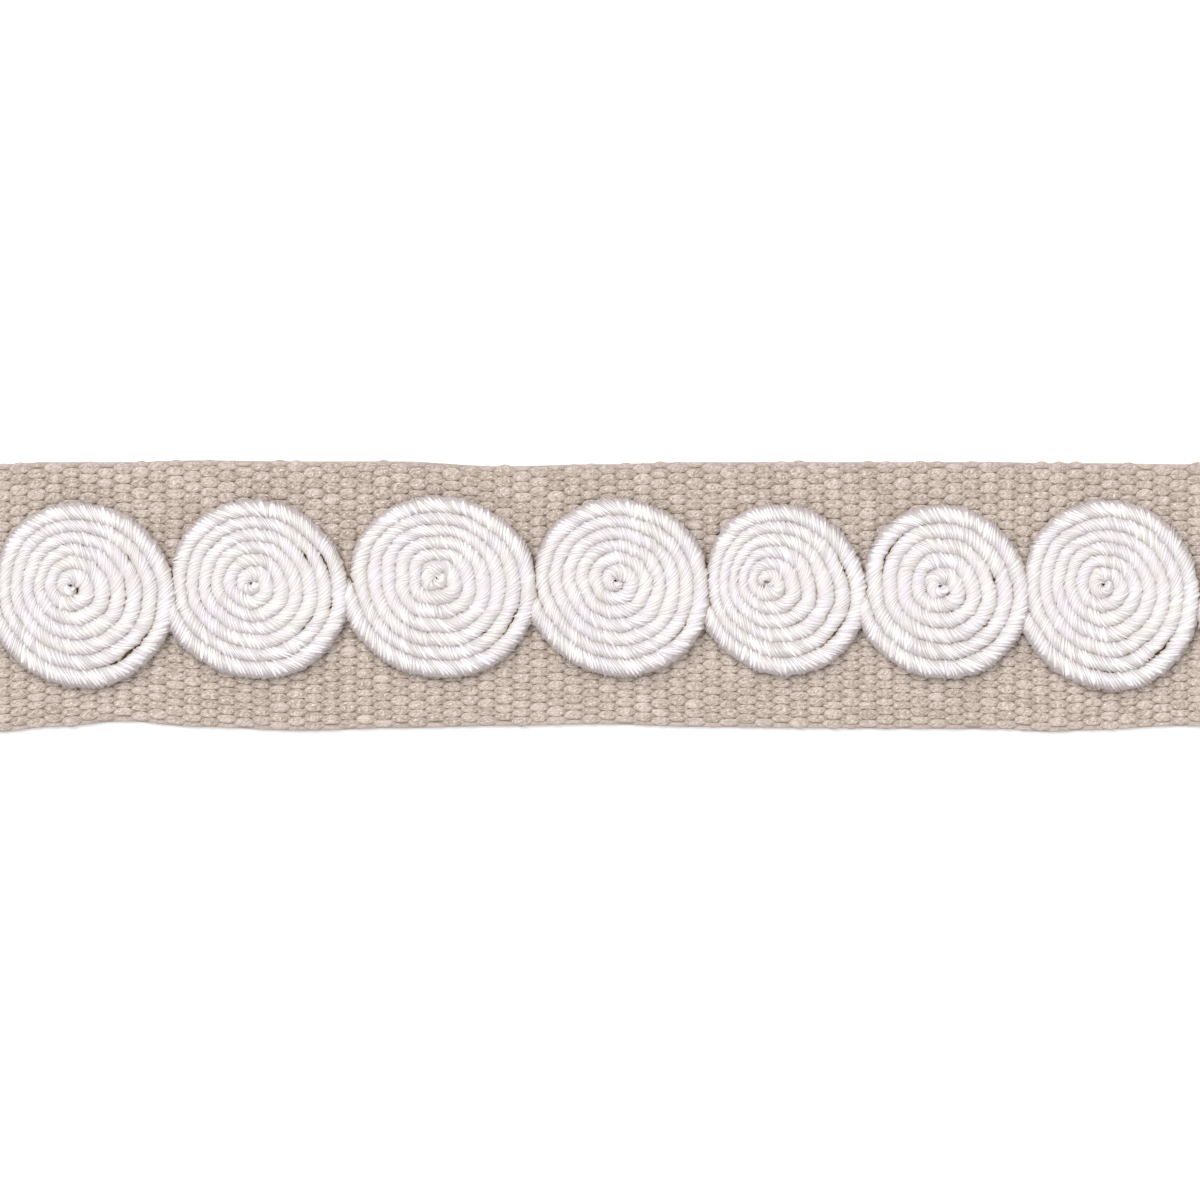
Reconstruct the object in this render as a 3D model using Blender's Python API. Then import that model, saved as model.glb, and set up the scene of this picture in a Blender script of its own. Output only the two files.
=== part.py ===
"""A cut length of woven rib tape with a row of spirals of satin-wrapped cord sewn along it.

Run with: blender --background --python part.py
+X runs along the tape, +Y across it and +Z up. The tape lies flat on z = 0, face up, and
the origin is the middle of its underside. Blender's units are metres.
"""

import math
from collections import namedtuple

import bmesh
import bpy
from mathutils import Vector

MM = 0.001

# Woven tape
TAPE_LENGTH = 228.6 * MM
TAPE_WIDTH = 38.0 * MM
RIB_COUNT = 92
RIB_CREST = 1.25 * MM
RIB_VALLEY = 1.0 * MM
SELVEDGE_WIDTH = 0.8 * MM
SELVEDGE_HEIGHT = 0.6 * MM

# Cord, and how it is wound: its sides rise to the shoulder, a share of its height, and it is
# lower at its two ends, where it dips into the tape
CORD_WIDTH = 2.15 * MM
CORD_HEIGHT = 1.45 * MM
CORD_SHOULDER = 0.62
CORD_END_HEIGHT = 0.55
EYE_RADIUS = 1.05 * MM
START_ANGLE = math.radians(208.0)
TURN_GAP = 0.14 * MM
PIECE_GAP = 0.3 * MM

# Steps for one turn of the cord: the wide outer turns get twice those of the tight inner ones
OUTER_STEPS = 24
INNER_STEPS = 12
OUTER_TURNS = 3

# The short stretch of a turn over which the cord's direction is measured
DIRECTION_SPAN = 0.02

# The sewing pulls the tape's edges about: how far each one stands out from straight at
# places along the tape, in millimetres, outwards
EdgeSection = namedtuple("EdgeSection", "along upper lower")
EDGE_SECTIONS = [
    EdgeSection(along=-114.3, upper=0.1, lower=0.2),
    EdgeSection(along=-98.0, upper=0.1, lower=0.1),
    EdgeSection(along=-86.0, upper=-0.2, lower=0.6),
    EdgeSection(along=-78.9, upper=0.1, lower=-0.1),
    EdgeSection(along=-68.1, upper=0.1, lower=-0.9),
    EdgeSection(along=-57.4, upper=0.35, lower=-0.1),
    EdgeSection(along=-43.0, upper=0.2, lower=0.45),
    EdgeSection(along=-28.7, upper=0.2, lower=0.05),
    EdgeSection(along=-14.3, upper=-0.5, lower=-0.25),
    EdgeSection(along=0.0, upper=-0.2, lower=-0.5),
    EdgeSection(along=14.3, upper=0.1, lower=-0.1),
    EdgeSection(along=28.7, upper=0.1, lower=0.05),
    EdgeSection(along=43.0, upper=0.1, lower=0.15),
    EdgeSection(along=57.4, upper=0.1, lower=0.2),
    EdgeSection(along=64.5, upper=-0.05, lower=0.6),
    EdgeSection(along=71.7, upper=-0.05, lower=0.3),
    EdgeSection(along=82.5, upper=-0.2, lower=-0.25),
    EdgeSection(along=98.0, upper=0.0, lower=0.1),
    EdgeSection(along=114.3, upper=0.1, lower=0.0),
]

# One row for each spiral, in millimetres: the middle of its outermost turn, its eye, the
# reach of its outer end, how far it is squashed across the tape, and its turns of cord
Coil = namedtuple("Coil", "x y eye_x eye_y reach squash turns")
COILS = [
    Coil(x=-98.6, y=1.1, eye_x=-99.5, eye_y=1.6, reach=13.3, squash=1.0, turns=5.9),
    Coil(x=-74.0, y=0.7, eye_x=-75.8, eye_y=1.4, reach=13.6, squash=1.02, turns=5.95),
    Coil(x=-49.1, y=1.45, eye_x=-49.9, eye_y=1.7, reach=13.5, squash=0.99, turns=6.0),
    Coil(x=-22.7, y=1.8, eye_x=-23.4, eye_y=2.45, reach=14.2, squash=0.95, turns=6.1),
    Coil(x=2.9, y=1.75, eye_x=2.3, eye_y=2.1, reach=13.4, squash=0.99, turns=5.95),
    Coil(x=26.5, y=1.4, eye_x=23.9, eye_y=1.95, reach=12.2, squash=1.06, turns=5.6),
    Coil(x=49.3, y=1.2, eye_x=48.8, eye_y=1.3, reach=12.7, squash=1.04, turns=5.0),
    Coil(x=73.1, y=0.75, eye_x=72.1, eye_y=1.5, reach=13.3, squash=1.08, turns=6.1),
    Coil(x=98.5, y=1.0, eye_x=97.6, eye_y=1.5, reach=13.3, squash=1.02, turns=5.9),
]

TAPE_COLOUR = (0.57, 0.475, 0.415, 1.0)
CORD_COLOUR = (0.88, 0.87, 0.865, 1.0)


def clear_scene():
    for item in list(bpy.data.objects):
        bpy.data.objects.remove(item, do_unlink=True)


def plain_material(name, colour, roughness):
    material = bpy.data.materials.new(name)
    material.use_nodes = True
    shader = material.node_tree.nodes["Principled BSDF"]
    shader.inputs["Base Color"].default_value = colour
    shader.inputs["Roughness"].default_value = roughness
    shader.inputs["Metallic"].default_value = 0.0
    return material


def add_piece(name, mesh, material, parent, place=(0.0, 0.0, 0.0)):
    piece = bpy.data.objects.new(name, mesh)
    bpy.context.scene.collection.objects.link(piece)
    mesh.materials.append(material)
    piece.parent = parent
    piece.location = place
    return piece


def smooth_step(share):
    return share * share * (3.0 - 2.0 * share)


def edge_places(along):
    """The upper and lower edge of the tape, as y, at one place along it."""
    here = along / MM
    for left, right in zip(EDGE_SECTIONS, EDGE_SECTIONS[1:]):
        if here <= right.along or right is EDGE_SECTIONS[-1]:
            break
    share = min(max((here - left.along) / (right.along - left.along), 0.0), 1.0)
    blend = smooth_step(share)
    upper = left.upper + (right.upper - left.upper) * blend
    lower = left.lower + (right.lower - left.lower) * blend
    half = TAPE_WIDTH / 2
    return half + upper * MM, -half - lower * MM


def tape_section(along, height):
    """Six points around the tape at one place: flat below, thinner at each selvedge."""
    upper, lower = edge_places(along)
    outline = [
        (lower, 0.0),
        (upper, 0.0),
        (upper, SELVEDGE_HEIGHT),
        (upper - SELVEDGE_WIDTH, height),
        (lower + SELVEDGE_WIDTH, height),
        (lower, SELVEDGE_HEIGHT),
    ]
    return [Vector((along, y, z)) for y, z in outline]


def skin_sections(name, sections):
    """One closed body through a row of like sections, with a flat cap at each end."""
    shape = bmesh.new()
    rings = [[shape.verts.new(point) for point in section] for section in sections]
    for ring, following in zip(rings, rings[1:]):
        for index in range(len(ring)):
            after = (index + 1) % len(ring)
            shape.faces.new((ring[index], ring[after], following[after], following[index]))
    shape.faces.new(rings[0])
    shape.faces.new(reversed(rings[-1]))
    bmesh.ops.recalc_face_normals(shape, faces=shape.faces)
    mesh = bpy.data.meshes.new(name)
    shape.to_mesh(mesh)
    shape.free()
    return mesh


def build_tape(parent, material):
    """The ribs run across the tape: a valley at each weft gap and a crest midway."""
    half_rib = TAPE_LENGTH / RIB_COUNT / 2
    sections = []
    for step in range(2 * RIB_COUNT + 1):
        along = step * half_rib - TAPE_LENGTH / 2
        height = RIB_CREST if step % 2 else RIB_VALLEY
        sections.append(tape_section(along, height))
    return add_piece("tape_ground", skin_sections("tape_ground", sections), material, parent)


def cord_place(coil, turn):
    """The cord's middle at so many turns in from its outer end, about the spiral's eye.

    The cord winds inward anticlockwise, its turns all drawn towards the eye.
    """
    share = turn / coil.turns
    outer = coil.reach * MM - CORD_WIDTH / 2
    radius = outer + (EYE_RADIUS - outer) * share
    squash = 1.0 + (coil.squash - 1.0) * radius / outer
    angle = START_ANGLE + turn * math.tau
    drift = 1.0 - share
    x = (coil.x - coil.eye_x) * MM * drift + radius * math.cos(angle)
    y = (coil.y - coil.eye_y) * MM * drift + radius * squash * math.sin(angle)
    return Vector((x, y, 0.0))


def cord_room(coil, turn):
    """The width that the turns on both sides leave for the cord."""
    here = cord_place(coil, turn)
    room = CORD_WIDTH
    if turn + 1.0 <= coil.turns:
        room = min(room, (cord_place(coil, turn + 1.0) - here).length - TURN_GAP)
    if turn >= 1.0:
        room = min(room, (cord_place(coil, turn - 1.0) - here).length - TURN_GAP)
    return room


def cord_section(coil, turn):
    """Five points around the cord: flat where it lies on the tape, and crowned."""
    middle = cord_place(coil, turn)
    behind = cord_place(coil, turn - DIRECTION_SPAN / 2)
    ahead = cord_place(coil, turn + DIRECTION_SPAN / 2) - behind
    side = Vector((-ahead.y, ahead.x, 0.0)).normalized()
    half = cord_room(coil, turn) / 2
    at_end = turn in (0.0, coil.turns)
    height = CORD_HEIGHT * (CORD_END_HEIGHT if at_end else 1.0)
    outline = [
        (-half, 0.0),
        (half, 0.0),
        (half, height * CORD_SHOULDER),
        (0.0, height),
        (-half, height * CORD_SHOULDER),
    ]
    return [middle + side * across + Vector((0.0, 0.0, up)) for across, up in outline]


def coil_steps(coil):
    """The turns at which the cord gets a section, closer together on the outer turns."""
    turns = [step / OUTER_STEPS for step in range(OUTER_STEPS * OUTER_TURNS)]
    inner = int((coil.turns - OUTER_TURNS) * INNER_STEPS)
    turns += [OUTER_TURNS + step / INNER_STEPS for step in range(inner)]
    turns.append(coil.turns)
    return turns


def build_spiral(number, coil, parent, material):
    name = f"spiral_{number}"
    sections = [cord_section(coil, turn) for turn in coil_steps(coil)]
    place = (coil.eye_x * MM, coil.eye_y * MM, RIB_CREST + PIECE_GAP)
    return add_piece(name, skin_sections(name, sections), material, parent, place)


def main():
    clear_scene()
    trim = bpy.data.objects.new("tape_trim", None)
    bpy.context.scene.collection.objects.link(trim)
    build_tape(trim, plain_material("woven_tape", TAPE_COLOUR, 0.9))
    cord_material = plain_material("satin_cord", CORD_COLOUR, 0.45)
    for number, coil in enumerate(COILS, start=1):
        build_spiral(number, coil, trim, cord_material)


main()
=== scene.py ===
"""The looks of a cut length of woven rib tape with spirals of satin-wrapped cord along it.

Lengths are in metres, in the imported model's frame: +X runs along the tape, +Y across it and
+Z up out of its face. The tape lies on z = 0 and the origin is the middle of its underside.
"""

import math
from collections import namedtuple

import bpy
import numpy as np
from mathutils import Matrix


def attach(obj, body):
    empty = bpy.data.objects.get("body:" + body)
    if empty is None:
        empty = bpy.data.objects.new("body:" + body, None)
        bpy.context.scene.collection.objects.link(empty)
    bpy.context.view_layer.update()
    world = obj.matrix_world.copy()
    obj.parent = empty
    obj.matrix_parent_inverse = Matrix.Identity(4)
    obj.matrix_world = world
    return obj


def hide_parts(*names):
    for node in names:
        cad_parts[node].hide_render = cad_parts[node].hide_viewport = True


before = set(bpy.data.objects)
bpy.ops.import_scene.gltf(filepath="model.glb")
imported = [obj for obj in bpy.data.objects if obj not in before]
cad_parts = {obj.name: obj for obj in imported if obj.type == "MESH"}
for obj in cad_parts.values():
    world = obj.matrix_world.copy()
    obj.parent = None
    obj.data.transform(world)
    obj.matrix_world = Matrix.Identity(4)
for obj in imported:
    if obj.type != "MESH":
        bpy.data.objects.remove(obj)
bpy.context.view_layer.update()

MM = 0.001

# Woven tape: one weft rib each pitch, and warp yarns that pass over one rib and under the next
TAPE_LENGTH = 228.6 * MM
TAPE_WIDTH = 38.0 * MM
RIB_COUNT = 92
WARP_COUNT = 56
WARP_PIECES = 3
MIDDLE_HEIGHT = 0.625 * MM
WARP_RISE = 0.37 * MM
WARP_THICKNESS = 0.48 * MM
# Half a warp yarn's width on its crest and where it crosses, as shares of the yarns' pitch
CREST_WIDTH = 1.12
CROSSING_WIDTH = 0.6
# Powers below 1 keep a float wide and high for longer; the section's power squares it off
FLOAT_BLUNTNESS = 0.6
RISE_BLUNTNESS = 0.6
SECTION_POWER = 3.0
# The points round a warp yarn, in degrees, closer together on the face
SECTION_ANGLES = (0, 38, 69, 111, 142, 180, 232, 308)
# One smooth, lower yarn runs along each edge
SELVEDGE_WIDTH = 0.44 * MM
SELVEDGE_THICKNESS = 0.52 * MM
SELVEDGE_MIDDLE = 0.48 * MM
SELVEDGE_RISE = 0.24 * MM
# How much wider the selvedge's floats are, as a share of a yarn's pitch, and how much lower the
# yarn next to it lies
SELVEDGE_SWELL = 0.55
SELVEDGE_SWELL_POWER = 0.35
RIM_DROP = 0.1 * MM
# How much painted selvedge shade each yarn gets, where the edge curves down: the edge yarn, less on
# its floats, and the next
RIM_SHADE = 0.8
RIM_FLOAT_SHADE = 0.3
NEXT_SHADE = 0.2
# The warp yarns lie closer together along the lower edge than along the upper one
LOWER_CROWDING = 0.9
COLUMN_STRAY = 0.11 * MM
COLUMN_SLOW_WAVE = 26.0 * MM
COLUMN_QUICK_WAVE = 9.0 * MM
COLUMN_SLOW_SHARE = 0.7
COLUMN_QUICK_SHARE = 0.5
YARN_STRAY = 0.02 * MM
YARN_QUICK_WAVE = 7.0 * MM
YARN_SLOW_WAVE = 19.0 * MM
# Each yarn's noise starts up to this far along, in millimetres
NOISE_SHIFT = 50.0
FLOAT_STRAY = 0.13 * MM
FLOAT_STRAY_LIMIT = 2.2
RISE_STRAY = 0.06
RISE_LIMITS = (0.8, 1.08)
# How much thinner a warp yarn is where it crosses to the other side
CROSSING_THINNING = 0.1
FIBRE_TWIST = 0.04
CUT_STRAY = 0.3 * MM
WARP_STEPS = 6

WEFT_THICKNESS = 0.34 * MM
WEFT_GAP_THICKNESS = 0.12 * MM
WEFT_INSET = 0.35 * MM
WEFT_STEPS = 4

# Satin-wrapped cord: it sits on the tape's ribs
CORD_WIDTH = 2.15 * MM
CORD_BASE = 1.15 * MM
CORD_TOP = 3.0 * MM
CORD_POWER = 2.0
FREE_POWER = 1.7
FREE_BULGE = 0.3 * MM
CORD_PRESS = 0.24 * MM
EYE_RADIUS = 1.05 * MM
EYE_TURNS = 0.5
EYE_DROP_TURNS = 0.3
EYE_WIDTH = 1.5 * MM
EYE_LEAST_WIDTH = 0.3 * MM
# Inside this radius the turns' wobble and squareness fade out
STEADY_RADIUS = 4.0 * MM
START_ANGLE = math.radians(208.0)
TUCK_TURNS = 0.03
ENTRY_TURNS = 1.6 * TUCK_TURNS
STRAND_PITCH = 0.52 * MM
STRAND_RELIEF = 0.15 * MM
STRAND_LEAN = 0.95 * MM
STRAND_FRAY = 0.24 * MM
STRAND_STEPS = 4
# The least and most of a thread's width and relief, as shares, and how much its lean strays
STRAND_WIDTHS = (0.55, 1.45)
STRAND_RELIEFS = (0.5, 1.3)
LEAN_STRAY = 0.55
# The share of a thread's relief that lies below the cord's own surface
GROOVE_SHARE = 0.6
# How slowly the cord narrows as it gets lower at its two ends
END_NARROWING = 0.7
END_LEAST = 0.05
# How far the threads' painted highlight strokes fade to a flat tone where the cord runs across the
# tape, and on the inner turns
CALM_SIDES = 0.55
CALM_INSIDE = 0.2
CALM_FROM_TURN = 0.9
CALM_TONE = 0.48
# How much of the threads' relief goes where they are calm
CALM_RELIEF = 0.6
# The points round the cord, in degrees, closest together on its outer shoulder
CORD_ANGLES = (5, 32, 58, 84, 108, 129, 148, 166, 186, 222, 318)
# The outermost turn's outer flank gets a greyer painted shade, the skirt, from about this angle
# round the cord
SKIRT_ANGLE = 118.0
SKIRT_STRAY = 16.0
SKIRT_FADE = 8.0
SKIRT_POINT = 14.0
# The turns lie in by this much towards the upper right, and out across that direction
LEAN_DIRECTION = math.radians(60.0)
LEAN_ONCE = 0.25 * MM
LEAN_TWICE = 0.45 * MM
# How many degrees off its neighbours the outermost turn stops merging with them
MEETING_SPREAD = 18.0
# How far each side draws back at an opening before it shows, as the sides press together
OPENING_CLEARANCE = CORD_PRESS - 0.12 * MM
WOBBLE = 0.08 * MM
# The lobes of the turns' wobble, and the size of each as a share of it
WOBBLE_LOBES = ((3, 1.0), (5, 0.7), (8, 0.5))
WOBBLE_DRIFT = 0.5
CREASE_STRAY = 0.11 * MM
CREASE_WAVE = 1.3 * MM
SWELL = 0.03
SWELL_WAVE = 3.0 * MM
PATH_STEPS_PER_TURN = 720
SMOOTHING_STEPS = 25

# The sewing pulls the tape's edges about: how far each one stands out from straight at
# places along the tape, in millimetres, outwards
EdgeSection = namedtuple("EdgeSection", "along upper lower")
EDGE_SECTIONS = [
    EdgeSection(along=-114.3, upper=0.1, lower=0.2),
    EdgeSection(along=-98.0, upper=0.1, lower=0.1),
    EdgeSection(along=-86.0, upper=-0.2, lower=0.6),
    EdgeSection(along=-78.9, upper=0.1, lower=-0.1),
    EdgeSection(along=-68.1, upper=0.1, lower=-0.9),
    EdgeSection(along=-57.4, upper=0.35, lower=-0.1),
    EdgeSection(along=-43.0, upper=0.2, lower=0.45),
    EdgeSection(along=-28.7, upper=0.2, lower=0.05),
    EdgeSection(along=-14.3, upper=-0.5, lower=-0.25),
    EdgeSection(along=0.0, upper=-0.2, lower=-0.5),
    EdgeSection(along=14.3, upper=0.1, lower=-0.1),
    EdgeSection(along=28.7, upper=0.1, lower=0.05),
    EdgeSection(along=43.0, upper=0.1, lower=0.15),
    EdgeSection(along=57.4, upper=0.1, lower=0.2),
    EdgeSection(along=64.5, upper=-0.05, lower=0.6),
    EdgeSection(along=71.7, upper=-0.05, lower=0.3),
    EdgeSection(along=82.5, upper=-0.2, lower=-0.25),
    EdgeSection(along=98.0, upper=0.0, lower=0.1),
    EdgeSection(along=114.3, upper=0.1, lower=0.0),
]

# One row for each spiral, in millimetres: the middle of its outermost turn, its eye, the
# reach of its outer end, how far it is squashed across the tape, its turns of cord, how many
# degrees its tail runs on beside its neighbour, how far its inner end sinks in its eye, as a
# share of its height, and how far its inner turns go square
Coil = namedtuple("Coil", "x y eye_x eye_y reach squash turns tail sink square")
COILS = [
    Coil(-98.6, 1.1, -99.5, 1.6, 13.3, squash=1.0, turns=5.9, tail=10, sink=0.6, square=0.05),
    Coil(-74.0, 0.7, -75.8, 1.4, 13.6, squash=1.02, turns=5.95, tail=12, sink=0.9, square=0.0),
    Coil(-49.1, 1.45, -49.9, 1.7, 13.5, squash=0.99, turns=6.0, tail=12, sink=0.35, square=0.0),
    Coil(-22.7, 1.8, -23.4, 2.45, 14.2, squash=0.95, turns=6.1, tail=20, sink=0.3, square=0.3),
    Coil(2.9, 1.75, 2.3, 2.1, 13.4, squash=0.99, turns=5.95, tail=13, sink=0.75, square=0.0),
    Coil(26.5, 1.4, 23.9, 1.95, 12.2, squash=1.06, turns=5.6, tail=6, sink=0.5, square=0.1),
    Coil(49.3, 1.2, 48.8, 1.3, 12.7, squash=1.04, turns=5.0, tail=17, sink=0.7, square=0.15),
    Coil(73.1, 0.75, 72.1, 1.5, 13.3, squash=1.08, turns=6.1, tail=7, sink=0.55, square=0.0),
    Coil(98.5, 1.0, 97.6, 1.5, 13.3, squash=1.02, turns=5.9, tail=12, sink=0.6, square=0.05),
]

# Where two turns part and leave a gap: the spiral, the crease counted from the outermost, the
# direction from the spiral's middle and half its spread in degrees, and the width in millimetres
Opening = namedtuple("Opening", "spiral crease direction spread width")
OPENINGS = [
    Opening(spiral=1, crease=1, direction=318, spread=16, width=0.19),
    Opening(spiral=2, crease=1, direction=312, spread=20, width=0.25),
    Opening(spiral=2, crease=2, direction=32, spread=6, width=0.22),
    Opening(spiral=3, crease=1, direction=17, spread=14, width=0.28),
    Opening(spiral=3, crease=1, direction=345, spread=5, width=0.43),
    Opening(spiral=3, crease=2, direction=30, spread=9, width=0.22),
    Opening(spiral=3, crease=2, direction=325, spread=10, width=0.19),
    Opening(spiral=4, crease=1, direction=330, spread=20, width=0.25),
    Opening(spiral=4, crease=2, direction=310, spread=9, width=0.19),
    Opening(spiral=5, crease=1, direction=320, spread=11, width=0.15),
    Opening(spiral=6, crease=1, direction=13, spread=9, width=0.19),
    Opening(spiral=6, crease=1, direction=320, spread=12, width=0.15),
    Opening(spiral=7, crease=1, direction=150, spread=24, width=0.22),
    Opening(spiral=7, crease=2, direction=7, spread=9, width=0.19),
    Opening(spiral=7, crease=2, direction=321, spread=12, width=0.19),
    Opening(spiral=8, crease=1, direction=312, spread=16, width=0.22),
    Opening(spiral=8, crease=1, direction=265, spread=12, width=0.15),
    Opening(spiral=9, crease=1, direction=322, spread=16, width=0.19),
]

# Colours of the yarns and threads, linear
YARN_DARK = (0.285, 0.227, 0.182, 1.0)
YARN_LIGHT = (0.597, 0.507, 0.457, 1.0)
# Painted shade colour of the selvedge, which curves down at the tape's edges
YARN_RIM_SHADE = (0.385, 0.325, 0.315, 1.0)
# Pale specks: partly stray fibres, partly painted glints
YARN_FLECKS_AND_GLINTS = (0.84, 0.79, 0.75, 1.0)
# Painted shade in the creases between the yarns
YARN_CREASE_SHADE = (0.27, 0.215, 0.13, 1.0)
# Painted shade: the weft's dark browns stand in for the shade deep in the weave's gaps
WEFT_SHADE_DARK = (0.3, 0.23, 0.15, 1.0)
WEFT_SHADE_LIGHT = (0.45, 0.36, 0.26, 1.0)
# Painted shade for the threads' grooves and flanks, and painted satin highlights for their crowns
THREAD_SHADED_WARM = (0.5, 0.468, 0.44, 1.0)
THREAD_SHADED_COOL = (0.49, 0.452, 0.48, 1.0)
THREAD_HIGHLIGHT_WARM = (0.84, 0.8, 0.785, 1.0)
THREAD_HIGHLIGHT_COOL = (0.835, 0.785, 0.82, 1.0)
# Painted shade in the creases between turns
THREAD_CREASE_SHADE = (0.42, 0.385, 0.32, 1.0)
# Painted brownish shade for the cord's lowest sides
THREAD_SUNK_SHADE = (0.6, 0.47, 0.3, 1.0)
# Painted shade for the outermost turn's outer flank
THREAD_SKIRT_SHADE = (0.395, 0.345, 0.34, 1.0)
FLOOR_COLOUR = (0.97, 0.97, 0.97, 1.0)

# The yarns' surface. Each noise has a scale along the yarn in 1/mm and one around it
YARN_ROUGHNESS = 0.85
YARN_GLOSS = 0.25
YARN_BUMP = 0.06 * MM
FIBRE_SCALE = (1.8, 22.0, 1.0)
FIBRE_CONTRAST = 4.6
SLUB_SCALE = (0.9, 3.5, 1.0)
SLUB_CONTRAST = 1.3
FLECK_AND_GLINT_SCALE = (3.0, 15.0, 1.0)
FLOAT_TONE = 0.36
FLOAT_TONE_SPREAD = 0.3
RIM_SHADE_COVER = 0.8
WEFT_SCALE = (6.0, 3.0, 1.0)
WEFT_ROUGHNESS = 0.9

# The threads' surface. Each noise has a scale for each thread and one around the cord
THREAD_ROUGHNESS = 0.42
THREAD_BUMP = 0.05 * MM
FILAMENT_SCALE = (3.5, 3.0, 1.0)
FILAMENT_CONTRAST = 0.8
PATCH_SCALE = (0.1, 2.6, 1.0)
PATCH_CONTRAST = 4.0
CREASE_BREAK_SCALE = (0.25, 0.0, 1.0)
# Painted satin highlights: a stroke on each thread, fading to painted shade at its edges and down
# the cord's flanks
STROKE_STRENGTH = 0.45
STROKE_STRENGTH_SPREAD = 0.55
STROKE_TAPER = 1.2
STROKE_STRAY = 1.0
STROKE_SLOPE = 2.4
STROKE_LEAST = 0.25
# The share of the way round the cord at which its underside is lowest
UNDERSIDE = 0.75
BUMP_STRENGTH = 0.5

# How a shade comes in: where it starts, how quickly it grows and how far it goes
Ramp = namedtuple("Ramp", "start slope most")
FLECK_AND_GLINT_RAMP = Ramp(start=0.63, slope=8.0, most=0.75)
YARN_CREASE_SHADE_RAMP = Ramp(start=0.86, slope=9.0, most=0.45)
THREAD_CREASE_SHADE_RAMP = Ramp(start=0.76, slope=6.0, most=0.4)
CREASE_BREAK_RAMP = Ramp(start=0.3, slope=3.0, most=1.0)
THREAD_SUNK_SHADE_RAMP = Ramp(start=0.9, slope=12.0, most=0.85)

# The places of the Mix node's colour sockets, which share their names with its other sockets
MIX_SHARE = 0
MIX_FIRST_COLOUR = 6
MIX_SECOND_COLOUR = 7
MIX_COLOUR = 2

# Where the photograph's frame lies on the tape
VIEW_WIDTH = 172.08 * MM
VIEW_MIDDLE_Y = -0.69 * MM
CAMERA_LENS = 200.0
CAMERA_SENSOR = 36.0
CAMERA_NEAR = 0.01
CAMERA_FAR = 10.0

FLOOR_SIZE = 3.0
FLOOR_LEVEL = -0.02 * MM
FLOOR_ROUGHNESS = 0.9

SUN_STRENGTH = 1.85
SUN_SPREAD = math.radians(45.0)
SUN_TILT = math.radians(-38.0)
SUN_TURN = math.radians(35.0)
FILL_STRENGTH = 1.0


def tube_mesh(name, rings, along, angles, values):
    """One mesh of closed tubes with capped ends.

    rings holds points, tube x ring x point around x 3. along is given for each ring of each
    tube and becomes the texture's u; v is the share of the way round, from the points' angles
    in degrees. values are the point attributes by name, one number for each ring or each point.
    """
    tubes, count, around, _ = rings.shape
    index = np.arange(tubes * count * around).reshape(tubes, count, around)
    here, after = index[:, :-1], index[:, 1:]
    quads = np.stack([here, np.roll(here, -1, 2), np.roll(after, -1, 2), after], axis=-1)
    quads = quads.reshape(-1, 4)
    starts = index[:, 0, ::-1].reshape(-1, around)
    ends = index[:, -1].reshape(-1, around)
    corners = np.concatenate([quads.ravel(), starts.ravel(), ends.ravel()])
    sizes = np.concatenate([np.full(len(quads), 4), np.full(2 * tubes, around)])
    mesh = bpy.data.meshes.new(name)
    mesh.vertices.add(index.size)
    mesh.vertices.foreach_set("co", rings.reshape(-1).astype(np.float32))
    mesh.loops.add(len(corners))
    mesh.loops.foreach_set("vertex_index", corners.astype(np.int32))
    mesh.polygons.add(len(sizes))
    mesh.polygons.foreach_set("loop_start", (np.cumsum(sizes) - sizes).astype(np.int32))
    mesh.polygons.foreach_set("use_smooth", np.ones(len(sizes), dtype=bool))
    mesh.update(calc_edges=True)
    point_u = np.repeat(along.reshape(-1), around)
    corner_v = np.asarray(angles)[corners % around] / 360
    wraps = np.zeros(len(corners), dtype=bool)
    wraps[: quads.size] = np.tile([False, True, True, False], len(quads))
    corner_v += wraps & (corners % around == 0)
    layer = mesh.uv_layers.new(name="UVMap")
    pairs = np.stack([point_u[corners], corner_v], 1)
    layer.data.foreach_set("uv", pairs.astype(np.float32).ravel())
    for value_name, numbers in values.items():
        points = np.broadcast_to(numbers.reshape(tubes, count, -1), (tubes, count, around))
        attribute = mesh.attributes.new(value_name, "FLOAT", "POINT")
        attribute.data.foreach_set("value", points.reshape(-1).astype(np.float32))
    return mesh


def add_piece(name, mesh, material, slot, *nodes):
    piece = bpy.data.objects.new(name, mesh)
    bpy.context.scene.collection.objects.link(piece)
    mesh.materials.append(material)
    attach(piece, "root")
    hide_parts(*nodes)
    return piece


def power(value, exponent):
    return np.sign(value) * np.abs(value) ** exponent


def edge_places(along):
    """The upper and lower edge of the tape, as y, at places along it."""
    here = np.asarray(along) / MM
    knots = np.array(EDGE_SECTIONS)
    step = np.clip(np.searchsorted(knots[:, 0], here) - 1, 0, len(knots) - 2)
    share = (here - knots[step, 0]) / (knots[step + 1, 0] - knots[step, 0])
    share = np.clip(share, 0.0, 1.0)
    blend = share * share * (3.0 - 2.0 * share)
    shifts = knots[step, 1:] + (knots[step + 1, 1:] - knots[step, 1:]) * blend[..., None]
    half = TAPE_WIDTH / 2
    return half + shifts[..., 0] * MM, -half - shifts[..., 1] * MM


def column_wave(column, across, phases):
    """How far one weft rib strays along the tape, at places across it."""
    slow = np.sin(math.tau * across / COLUMN_SLOW_WAVE + phases[column, 0])
    quick = np.sin(math.tau * across / COLUMN_QUICK_WAVE + phases[column, 1])
    return COLUMN_STRAY * (COLUMN_SLOW_SHARE * slow + COLUMN_QUICK_SHARE * quick)


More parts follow.
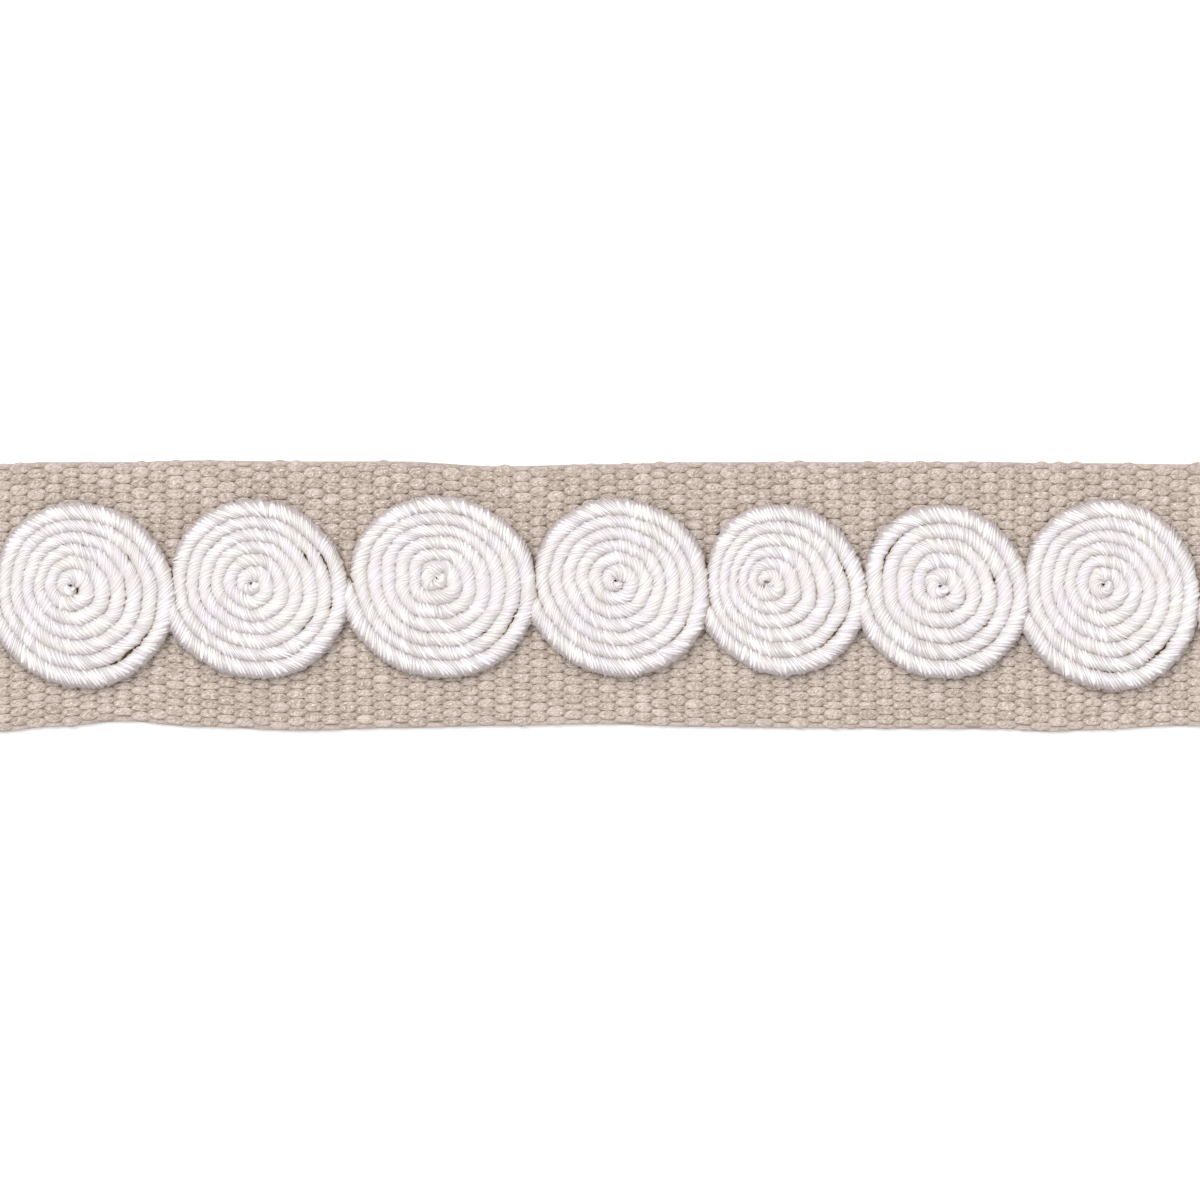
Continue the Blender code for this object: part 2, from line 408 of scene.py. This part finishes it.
def warp_yarns(numbers, crowding, phases):
    """Closed tubes for the numbered warp yarns, counted from the lower edge.

    Every float reaches as far as the two beside it leave room: crowding says how far each
    hidden yarn between two floats is pushed aside, for each yarn and column.
    """
    random = np.random.default_rng(100 + int(numbers[0]))
    yarn = numbers[:, None]
    place = np.arange(RIB_COUNT * WARP_STEPS + 1)[None, :] / WARP_STEPS
    column = np.clip(np.floor(place).astype(int), 0, RIB_COUNT - 1)
    wave = np.cos(math.pi * (place - 0.5 + yarn))
    weight = np.abs(wave)

    above, below = crowding[yarn + 2, column], crowding[yarn, column]
    shape = (len(numbers), RIB_COUNT)
    rows = np.arange(len(numbers))[:, None]
    higher = random.normal(1.0, RISE_STRAY, shape)[rows, column]
    tone = random.uniform(0.0, 1.0, shape)[rows, column]

    x = (place / RIB_COUNT - 0.5) * TAPE_LENGTH + 0.0 * yarn
    upper, lower = edge_places(x)
    inner_upper, inner_lower = upper - SELVEDGE_WIDTH, lower + SELVEDGE_WIDTH
    inner_count = WARP_COUNT - 2
    share = (yarn - 0.5) / inner_count
    spread = share * (LOWER_CROWDING + (1.0 - LOWER_CROWDING) * share)
    closeness = LOWER_CROWDING + 2 * (1.0 - LOWER_CROWDING) * share
    pitch = (inner_upper - inner_lower) / inner_count * closeness
    drift = random.uniform(0.0, math.tau, (len(numbers), 2))
    sway = np.sin(x / YARN_QUICK_WAVE + drift[:, :1]) + np.sin(x / YARN_SLOW_WAVE + drift[:, 1:])
    y = inner_lower + (inner_upper - inner_lower) * spread + YARN_STRAY * sway
    y = y + (above + below) / 2 * weight

    first = np.clip(np.floor(place).astype(int), 0, RIB_COUNT)
    second = np.clip(first + 1, 0, RIB_COUNT)
    part = place - np.floor(place)
    x = x + (1.0 - part) * column_wave(first, y, phases) + part * column_wave(second, y, phases)

    rise = WARP_RISE * np.clip(higher, *RISE_LIMITS)
    z = MIDDLE_HEIGHT + rise * power(wave, RISE_BLUNTNESS)
    crossing = CROSSING_WIDTH * pitch
    crest = CREST_WIDTH * pitch + (above - below) / 2
    half_width = crossing + (crest - crossing) * weight**FLOAT_BLUNTNESS
    half_height = WARP_THICKNESS / 2 * (1.0 - CROSSING_THINNING * (1.0 - weight))

    rim = np.minimum(numbers, WARP_COUNT - 1 - numbers)[:, None]
    on_face = np.maximum(wave, 0.0)
    # Painted shade for the selvedge: most on the edge yarn, less where it rises on its floats, a
    # little on the next yarn
    rim_painted_shade = RIM_SHADE + (RIM_FLOAT_SHADE - RIM_SHADE) * on_face
    edge = np.where(rim == 0, rim_painted_shade, NEXT_SHADE * (rim == 1))
    band = SELVEDGE_WIDTH + SELVEDGE_SWELL * pitch * on_face**SELVEDGE_SWELL_POWER
    band_y = np.where(yarn == 0, lower + band / 2, upper - band / 2)
    y = np.where(rim == 0, band_y, y)
    z = z - RIM_DROP * (rim == 1) * on_face
    z = np.where(rim == 0, SELVEDGE_MIDDLE + SELVEDGE_RISE * wave, z)
    half_width = np.where(rim == 0, band / 2, half_width)
    half_height = np.where(rim == 0, SELVEDGE_THICKNESS / 2, half_height)

    cut = random.uniform(0.0, CUT_STRAY, (len(numbers), 2))
    x[:, 0] -= cut[:, 0]
    x[:, -1] += cut[:, 1]
    turn = np.radians(SECTION_ANGLES)
    side = power(np.cos(turn), 2 / SECTION_POWER)
    up = power(np.sin(turn), 2 / SECTION_POWER)
    rings = np.empty(x.shape + (len(turn), 3))
    rings[..., 0] = x[..., None]
    rings[..., 1] = y[..., None] + half_width[..., None] * side
    rings[..., 2] = z[..., None] + half_height[..., None] * up
    along = x / MM + random.uniform(0.0, NOISE_SHIFT, (len(numbers), 1))
    return rings, along, {"tone": tone, "edge": edge}


def build_warp(material):
    """The warp yarns, in a few pieces that each hold neighbouring yarns."""
    random = np.random.default_rng(7)
    phases = random.uniform(0.0, math.tau, (RIB_COUNT + 1, 2))
    crowding = random.normal(0.0, 1.0, (WARP_COUNT + 2, RIB_COUNT))
    crowding = np.clip(crowding, -FLOAT_STRAY_LIMIT, FLOAT_STRAY_LIMIT) * FLOAT_STRAY
    groups = np.array_split(np.arange(WARP_COUNT), WARP_PIECES)
    pieces = []
    for group, numbers in enumerate(groups, start=1):
        name = f"warp_yarns_{group}"
        rings, along, values = warp_yarns(numbers, crowding, phases)
        mesh = tube_mesh(name, rings, along, SECTION_ANGLES, values)
        pieces.append(add_piece(name, mesh, material, "woven_tape", "tape_ground"))
    return pieces


def build_weft(material):
    """The weft that the warp yarns hide: a thin ribbed layer through the middle of the tape."""
    place = np.arange(RIB_COUNT * WEFT_STEPS + 1) / WEFT_STEPS
    x = (place / RIB_COUNT - 0.5) * TAPE_LENGTH
    upper, lower = edge_places(x)
    upper = upper - WEFT_INSET
    lower = lower + WEFT_INSET
    swell = np.sin(math.pi * (place % 1.0))
    half = (WEFT_GAP_THICKNESS + (WEFT_THICKNESS - WEFT_GAP_THICKNESS) * swell) / 2
    low, high = MIDDLE_HEIGHT - half, MIDDLE_HEIGHT + half
    corners = [(upper, low), (upper, high), (lower, high), (lower, low)]
    rings = np.stack([np.stack([x, y, z], -1) for y, z in corners], 1)[None]
    mesh = tube_mesh("weft", rings, x[None] / MM, (45, 135, 225, 315), {})
    for face in mesh.polygons:
        face.use_smooth = False
    return add_piece("weft", mesh, material, "woven_tape", "tape_ground")


def cord_middle(coil, turn, wobble):
    """The cord's middle at so many turns in from its outer end, in the spiral's own plane."""
    share = turn / coil.turns
    outer = coil.reach * MM - CORD_WIDTH / 2
    radius = outer + (EYE_RADIUS - outer) * share
    squash = 1.0 + (coil.squash - 1.0) * radius / outer
    angle = START_ANGLE + turn * math.tau
    inside = np.clip(1.0 - radius / outer, 0.0, 1.0)
    fade = np.clip(radius / STEADY_RADIUS, 0.0, 1.0)
    for lobes, phase, size in wobble:
        wave = np.sin(lobes * angle + phase + WOBBLE_DRIFT * turn)
        radius = radius + WOBBLE * size * fade * wave
    radius = radius - coil.square * MM * inside * fade * np.cos(4 * angle)
    off_lean = angle - LEAN_DIRECTION
    lean_in = LEAN_ONCE * np.cos(off_lean) + LEAN_TWICE * np.cos(2 * off_lean)
    radius = radius - lean_in * np.clip(radius / outer, 0.0, 1.0)
    drift = 1.0 - share
    x = (coil.x - coil.eye_x) * MM * drift + radius * np.cos(angle)
    y = (coil.y - coil.eye_y) * MM * drift + radius * squash * np.sin(angle)
    return np.stack([x, y], -1)


def smoothed(values, width):
    kernel = np.ones(width) / width
    padded = np.pad(values, width, mode="edge")
    return np.convolve(padded, kernel, mode="same")[width:-width]


def smooth_noise(random, length, spacing):
    """Random waves along the cord, about so far apart and from -1 to 1."""
    knots = random.uniform(-1.0, 1.0, int(length[-1] / spacing) + 3)
    return np.interp(length / spacing, np.arange(len(knots)), knots)


def opening_depths(number, turns):
    """How far an opening draws the cord's side back, for each step along the cord."""
    depths = np.zeros(len(turns))
    for opening in OPENINGS:
        if opening.spiral == number:
            start = math.degrees(START_ANGLE)
            at = ((opening.direction - start) % 360) / 360 + opening.crease - 1
            depth = opening.width / 2 * MM + OPENING_CLEARANCE
            depths += depth * np.exp(-(((turns - at) * 360 / opening.spread) ** 2))
    return depths


def a_turn_later(values):
    """The values shifted along by one turn, with none for the outermost turn."""
    return np.concatenate([np.zeros(PATH_STEPS_PER_TURN), values[:-PATH_STEPS_PER_TURN]])


def cord_route(number, coil, random):
    """The cord from end to end: the turn, middle, length and half widths at close steps."""
    wobble = [(lobes, random.uniform(0, math.tau), size) for lobes, size in WOBBLE_LOBES]
    start = -TUCK_TURNS - coil.tail / 360
    end = coil.turns + EYE_TURNS
    turns = np.arange(start, end, 1.0 / PATH_STEPS_PER_TURN)
    middle = cord_middle(coil, turns, wobble)
    length = np.concatenate([[0.0], np.cumsum(np.linalg.norm(np.diff(middle, axis=0), axis=1))])
    to_next = np.linalg.norm(cord_middle(coil, turns + 1.0, wobble) - middle, axis=1) / 2
    to_last = np.linalg.norm(cord_middle(coil, turns - 1.0, wobble) - middle, axis=1) / 2
    to_eye = np.linalg.norm(middle, axis=1)
    most = CORD_WIDTH / 2
    has_next = turns + 1.0 <= end
    in_eye = np.clip(to_eye, EYE_LEAST_WIDTH, EYE_WIDTH)
    inner = np.where(has_next, np.minimum(to_next, most), in_eye)
    free = smoothed(np.where(turns >= 1.0 + start, 0.0, 1.0), SMOOTHING_STEPS)
    direction = (math.degrees(START_ANGLE) + 360 * turns) % 180
    off_meeting = np.minimum(direction, 180 - direction)
    free = free * (1.0 - np.exp(-((off_meeting / MEETING_SPREAD) ** 2)))
    outer = np.minimum(to_last, most) * (1 - free) + (most + FREE_BULGE) * free

    crease = CREASE_STRAY * smooth_noise(random, length, CREASE_WAVE) * has_next
    parting = opening_depths(number, turns)
    inner = smoothed(inner, SMOOTHING_STEPS) + crease - parting + CORD_PRESS
    outer = smoothed(outer, SMOOTHING_STEPS) - a_turn_later(crease + parting) + CORD_PRESS
    return turns, middle, length, inner, outer, free


def cord_mesh(name, coil, number):
    """The cord with its wrapping: every few rings make one thread, which leans across it."""
    random = np.random.default_rng(500 + number)
    turns, middle, length, inner, outer, free = cord_route(number, coil, random)
    ahead = np.gradient(middle, axis=0)
    ahead /= np.linalg.norm(ahead, axis=1)[:, None]
    total = length[-1]
    strands = int(total / STRAND_PITCH)
    rings = strands * STRAND_STEPS + 1

    strand = np.arange(rings) // STRAND_STEPS
    step = np.arange(rings) % STRAND_STEPS
    edges = np.cumsum(random.uniform(*STRAND_WIDTHS, strands + 2))
    edges = (edges - edges[0]) / (edges[strands] - edges[0]) * total
    at = edges[strand] + (edges[strand + 1] - edges[strand]) * step / STRAND_STEPS
    hump = np.sin(math.pi * step / STRAND_STEPS)
    relief = STRAND_RELIEF * (hump - GROOVE_SHARE)
    relief = relief * random.uniform(*STRAND_RELIEFS, strands + 1)[strand]
    crosswise = np.interp(at, length, ahead[:, 1] ** 2)
    inner_turns = np.interp(at, length, np.clip(turns - CALM_FROM_TURN, 0.0, 1.0))
    calm = CALM_SIDES * crosswise + CALM_INSIDE * inner_turns
    relief = relief * (1.0 - CALM_RELIEF * calm)
    fray = STRAND_FRAY * hump * random.uniform(-1.0, 1.0, (strands + 1, 2))[strand].T
    lean = STRAND_LEAN * smoothed(random.normal(1.0, LEAN_STRAY, strands + 1), 3)[strand]
    tone = random.uniform(0.0, 1.0, strands + 1)[strand]

    turn = np.radians(CORD_ANGLES)
    place = np.clip(at[:, None] - lean[:, None] * np.cos(turn), 0.0, total)

    def along(values):
        return np.interp(place, length, values)

    spot = np.stack([along(middle[:, 0]), along(middle[:, 1])], -1)
    normal = np.stack([-along(ahead[:, 1]), along(ahead[:, 0])], -1)
    here = along(turns)
    is_outer = np.cos(turn) < 0
    sloping = 2 / (CORD_POWER + (FREE_POWER - CORD_POWER) * along(free) * is_outer)
    side = power(np.cos(turn), sloping)
    up = power(np.sin(turn), sloping)
    reach = np.where(is_outer, along(outer) + fray[0][:, None], along(inner) + fray[1][:, None])
    entry = np.clip((here - turns[0]) / ENTRY_TURNS, 0.0, 1.0)
    leave = np.clip((turns[-1] - here) / EYE_DROP_TURNS, 0.0, 1.0)
    rounded = np.sqrt(np.clip(entry * (2 - entry), END_LEAST, 1.0))
    body = rounded * (1.0 - coil.sink * (1.0 - leave) ** 2)
    body = body * (1.0 + SWELL * along(smooth_noise(random, length, SWELL_WAVE)) - SWELL)
    half_height = (CORD_TOP - CORD_BASE) / 2
    relief = relief[:, None]
    swing = (reach + relief) * body**END_NARROWING * side
    result = np.empty(place.shape + (3,))
    result[..., 0] = coil.eye_x * MM + spot[..., 0] + normal[..., 0] * swing
    result[..., 1] = coil.eye_y * MM + spot[..., 1] + normal[..., 1] * swing
    result[..., 2] = CORD_BASE + half_height * body * (1.0 + up) + relief * np.maximum(up, 0.0)
    threads = np.arange(rings)[None] / STRAND_STEPS
    values = {"tone": tone, "calm": calm, "free": along(free)}
    return tube_mesh(name, result[None], threads, CORD_ANGLES, values)


def build_spirals(material):
    pieces = []
    for number, coil in enumerate(COILS, start=1):
        name = f"satin_spiral_{number}"
        mesh = cord_mesh(name, coil, number)
        pieces.append(add_piece(name, mesh, material, "satin_cord", f"spiral_{number}"))
    return pieces


class Graph:
    """A material's nodes, added one at a time and joined as they are added."""

    def __init__(self, name):
        self.material = bpy.data.materials.new(name)
        self.material.use_nodes = True
        self.tree = self.material.node_tree
        self.shader = self.tree.nodes["Principled BSDF"]

    def add(self, kind, settings=None, **inputs):
        node = self.tree.nodes.new(kind)
        for key, value in (settings or {}).items():
            setattr(node, key, value)
        for key, value in inputs.items():
            self.put(node, key.replace("_", " "), value)
        return node

    def put(self, node, key, value):
        socket = node.inputs[key]
        if isinstance(value, bpy.types.NodeSocket):
            self.tree.links.new(value, socket)
        else:
            socket.default_value = value

    def math(self, operation, first, second=0.0):
        node = self.add("ShaderNodeMath", {"operation": operation})
        self.put(node, 0, first)
        self.put(node, 1, second)
        return node.outputs["Value"]

    def spread(self, noise, amount):
        """Noise about a half, turned into a change of either sign."""
        return self.math("MULTIPLY", self.math("SUBTRACT", noise, 0.5), amount)

    def limit(self, value, least=0.0, most=1.0):
        return self.math("MINIMUM", self.math("MAXIMUM", value, least), most)

    def blend(self, share, first, second):
        node = self.add("ShaderNodeMix", {"data_type": "RGBA"})
        self.put(node, MIX_SHARE, share)
        self.put(node, MIX_FIRST_COLOUR, first)
        self.put(node, MIX_SECOND_COLOUR, second)
        return node.outputs[MIX_COLOUR]

    def noise(self, across, scale, detail=2.0, roughness=0.6):
        """Noise stretched by different scales along and around a yarn."""
        mapping = self.add("ShaderNodeMapping", Vector=across, Scale=scale)
        node = self.add("ShaderNodeTexNoise", Vector=mapping.outputs["Vector"], Detail=detail)
        node.inputs["Scale"].default_value = 1.0
        node.inputs["Roughness"].default_value = roughness
        return node.outputs["Fac"]

    def uv(self):
        return self.add("ShaderNodeTexCoord").outputs["UV"]

    def along_and_around(self, uv):
        """The place along a tube and the share of the way round it."""
        split = self.add("ShaderNodeSeparateXYZ", Vector=uv)
        return split.outputs["X"], split.outputs["Y"]

    def flank(self, around):
        """From 0 on a tube's crown to 1 at its sides."""
        return self.math("ABSOLUTE", self.math("COSINE", self.math("MULTIPLY", around, math.tau)))

    def ramp(self, value, start, slope, most=1.0):
        """From 0 at the start up to the most, at so much for each unit of the value."""
        rise = self.math("MULTIPLY", self.math("SUBTRACT", value, start), slope)
        return self.limit(rise, most=most)

    def raise_surface(self, height, distance):
        bump = self.add("ShaderNodeBump", Height=height, Strength=BUMP_STRENGTH, Distance=distance)
        self.put(self.shader, "Normal", bump.outputs["Normal"])

    def value(self, name):
        return self.add("ShaderNodeAttribute", {"attribute_name": name}).outputs["Fac"]


def yarn_material(name):
    """Matt linen-look yarn: fibres, a tone per float, pale fibre specks with painted glints,
    painted crease and selvedge shade.
    """
    graph = Graph(name)
    along, around = graph.along_and_around(graph.uv())
    twisted = graph.math("ADD", around, graph.math("MULTIPLY", along, FIBRE_TWIST))
    uv = graph.add("ShaderNodeCombineXYZ", X=along, Y=twisted).outputs["Vector"]
    fibres = graph.noise(uv, FIBRE_SCALE, detail=4.0, roughness=0.75)
    slubs = graph.noise(uv, SLUB_SCALE)
    tone = graph.math("MULTIPLY", graph.value("tone"), FLOAT_TONE_SPREAD)
    tone = graph.math("ADD", tone, FLOAT_TONE)
    tone = graph.math("ADD", tone, graph.spread(fibres, FIBRE_CONTRAST))
    tone = graph.limit(graph.math("ADD", tone, graph.spread(slubs, SLUB_CONTRAST)))
    colour = graph.blend(tone, YARN_DARK, YARN_LIGHT)
    # Pale specks, partly fibre and partly painted glints of light on the yarn
    flecks_and_glints = graph.ramp(graph.noise(uv, FLECK_AND_GLINT_SCALE, detail=1.0), *FLECK_AND_GLINT_RAMP)
    colour = graph.blend(flecks_and_glints, colour, YARN_FLECKS_AND_GLINTS)
    # Painted shade on the selvedge and the yarn next to it
    rim = graph.math("MULTIPLY", graph.value("edge"), RIM_SHADE_COVER)
    colour = graph.blend(rim, colour, YARN_RIM_SHADE)
    # Painted shade darkens each yarn's sides, where it meets its neighbours in the creases
    crease = graph.ramp(graph.flank(around), *YARN_CREASE_SHADE_RAMP)
    colour = graph.blend(crease, colour, YARN_CREASE_SHADE)
    graph.put(graph.shader, "Base Color", colour)
    graph.put(graph.shader, "Roughness", YARN_ROUGHNESS)
    graph.put(graph.shader, "Specular IOR Level", YARN_GLOSS)
    graph.raise_surface(fibres, YARN_BUMP)
    return graph.material


def thread_highlight_strokes(graph, threads, around):
    """Two shares: each thread's painted highlight stroke, pointed at both ends, and the outer
    skirt's painted shade.
    """
    off_middle = graph.math("ABSOLUTE", graph.math("SUBTRACT", graph.math("FRACT", threads), 0.5))
    thickness = graph.math("SUBTRACT", 1.0, graph.math("MULTIPLY", off_middle, 2.0))
    whole = graph.math("FLOOR", threads)
    own = graph.add("ShaderNodeTexWhiteNoise", {"noise_dimensions": "1D"}, W=whole).outputs["Value"]
    taper = graph.math("MULTIPLY", graph.flank(around), STROKE_TAPER)
    taper = graph.math("ADD", taper, graph.spread(own, STROKE_STRAY))
    stroke = graph.math("MULTIPLY", graph.math("SUBTRACT", thickness, taper), STROKE_SLOPE)
    stroke = graph.limit(graph.math("ADD", stroke, STROKE_LEAST))
    start = graph.math("ADD", graph.spread(own, -SKIRT_STRAY / 360), SKIRT_ANGLE / 360)
    start = graph.math("ADD", start, graph.math("MULTIPLY", thickness, SKIRT_POINT / 360))
    skirt = graph.ramp(around, start, 360 / SKIRT_FADE)
    skirt = graph.math("MULTIPLY", skirt, graph.math("LESS_THAN", around, UNDERSIDE))
    return stroke, graph.math("MULTIPLY", skirt, graph.value("free"))


def cord_material(name):
    """White satin thread: fine filaments, painted satin highlights along every thread and painted
    shade in the grooves.
    """
    graph = Graph(name)
    uv = graph.uv()
    filaments = graph.noise(uv, FILAMENT_SCALE)
    patches = graph.noise(uv, PATCH_SCALE)
    strength = graph.math("MULTIPLY", graph.value("tone"), STROKE_STRENGTH_SPREAD)
    strength = graph.math("ADD", strength, STROKE_STRENGTH)
    threads, around = graph.along_and_around(uv)
    stroke, skirt = thread_highlight_strokes(graph, threads, around)
    # Painted highlight strokes, each thread with its own strength
    tone = graph.math("MULTIPLY", stroke, strength)
    # Painted highlights fade towards a flat tone where the threads are calm
    fading = graph.math("SUBTRACT", CALM_TONE, tone)
    fading = graph.math("MULTIPLY", fading, graph.value("calm"))
    tone = graph.math("ADD", tone, fading)
    tone = graph.limit(graph.math("ADD", tone, graph.spread(filaments, FILAMENT_CONTRAST)))
    cool = graph.limit(graph.math("ADD", graph.spread(patches, PATCH_CONTRAST), 0.5))
    shaded_colour = graph.blend(cool, THREAD_SHADED_WARM, THREAD_SHADED_COOL)
    highlight_colour = graph.blend(cool, THREAD_HIGHLIGHT_WARM, THREAD_HIGHLIGHT_COOL)
    # Painted shade in the creases between turns, broken up along the cord
    crease = graph.ramp(graph.flank(around), *THREAD_CREASE_SHADE_RAMP)
    broken = graph.ramp(graph.noise(uv, CREASE_BREAK_SCALE), *CREASE_BREAK_RAMP)
    crease = graph.math("MULTIPLY", crease, broken)
    colour = graph.blend(crease, graph.blend(tone, shaded_colour, highlight_colour), THREAD_CREASE_SHADE)
    # Painted brownish shade on the cord's lowest sides, where the openings show down into the tape
    sunk_shade = graph.ramp(graph.flank(around), *THREAD_SUNK_SHADE_RAMP)
    colour = graph.blend(sunk_shade, colour, THREAD_SUNK_SHADE)
    # Painted shade on the outermost turn's outer flank
    colour = graph.blend(skirt, colour, THREAD_SKIRT_SHADE)
    graph.put(graph.shader, "Base Color", colour)
    graph.put(graph.shader, "Roughness", THREAD_ROUGHNESS)
    graph.raise_surface(filaments, THREAD_BUMP)
    return graph.material


def plain_material(name, colour, roughness):
    graph = Graph(name)
    graph.put(graph.shader, "Base Color", colour)
    graph.put(graph.shader, "Roughness", roughness)
    return graph.material


def weft_material(name):
    """Painted shade: the hidden weft is coloured dark brown for the shade at the bottom of the
    weave's gaps.
    """
    graph = Graph(name)
    threads = graph.noise(graph.uv(), WEFT_SCALE)
    colour = graph.blend(threads, WEFT_SHADE_DARK, WEFT_SHADE_LIGHT)
    graph.put(graph.shader, "Base Color", colour)
    graph.put(graph.shader, "Roughness", WEFT_ROUGHNESS)
    return graph.material


def add_floor():
    half = FLOOR_SIZE / 2
    mesh = bpy.data.meshes.new("floor")
    outline = [(-half, -half), (half, -half), (half, half), (-half, half)]
    corners = [(x, y, FLOOR_LEVEL) for x, y in outline]
    mesh.from_pydata(corners, [], [(0, 1, 2, 3)])
    floor = bpy.data.objects.new("floor", mesh)
    bpy.context.scene.collection.objects.link(floor)
    mesh.materials.append(plain_material("floor", FLOOR_COLOUR, FLOOR_ROUGHNESS))
    return floor


def add_camera():
    """Straight above the tape, at the photograph's scale, with next to no perspective."""
    data = bpy.data.cameras.new("camera")
    data.lens = CAMERA_LENS
    data.sensor_width = CAMERA_SENSOR
    data.clip_start = CAMERA_NEAR
    data.clip_end = CAMERA_FAR
    camera = bpy.data.objects.new("camera", data)
    distance = VIEW_WIDTH * CAMERA_LENS / CAMERA_SENSOR
    camera.location = (0.0, VIEW_MIDDLE_Y, distance + CORD_BASE)
    bpy.context.scene.collection.objects.link(camera)
    bpy.context.scene.camera = camera


def add_light():
    """A wide soft light from above the tape's upper edge and left end, with an even fill."""
    data = bpy.data.lights.new("sky_panel", "SUN")
    data.energy = SUN_STRENGTH
    data.angle = SUN_SPREAD
    lamp = bpy.data.objects.new("sky_panel", data)
    lamp.rotation_euler = (SUN_TILT, 0.0, SUN_TURN)
    bpy.context.scene.collection.objects.link(lamp)
    world = bpy.data.worlds.new("studio")
    world.use_nodes = True
    background = world.node_tree.nodes["Background"]
    background.inputs["Color"].default_value = (1.0, 1.0, 1.0, 1.0)
    background.inputs["Strength"].default_value = FILL_STRENGTH
    bpy.context.scene.world = world
    bpy.context.scene.view_settings.view_transform = "Standard"


def main():
    add_camera()
    floor = add_floor()
    add_light()
    warp = build_warp(yarn_material("warp_yarn"))
    weft = build_weft(weft_material("weft_yarn"))
    build_spirals(cord_material("satin_thread"))


main()
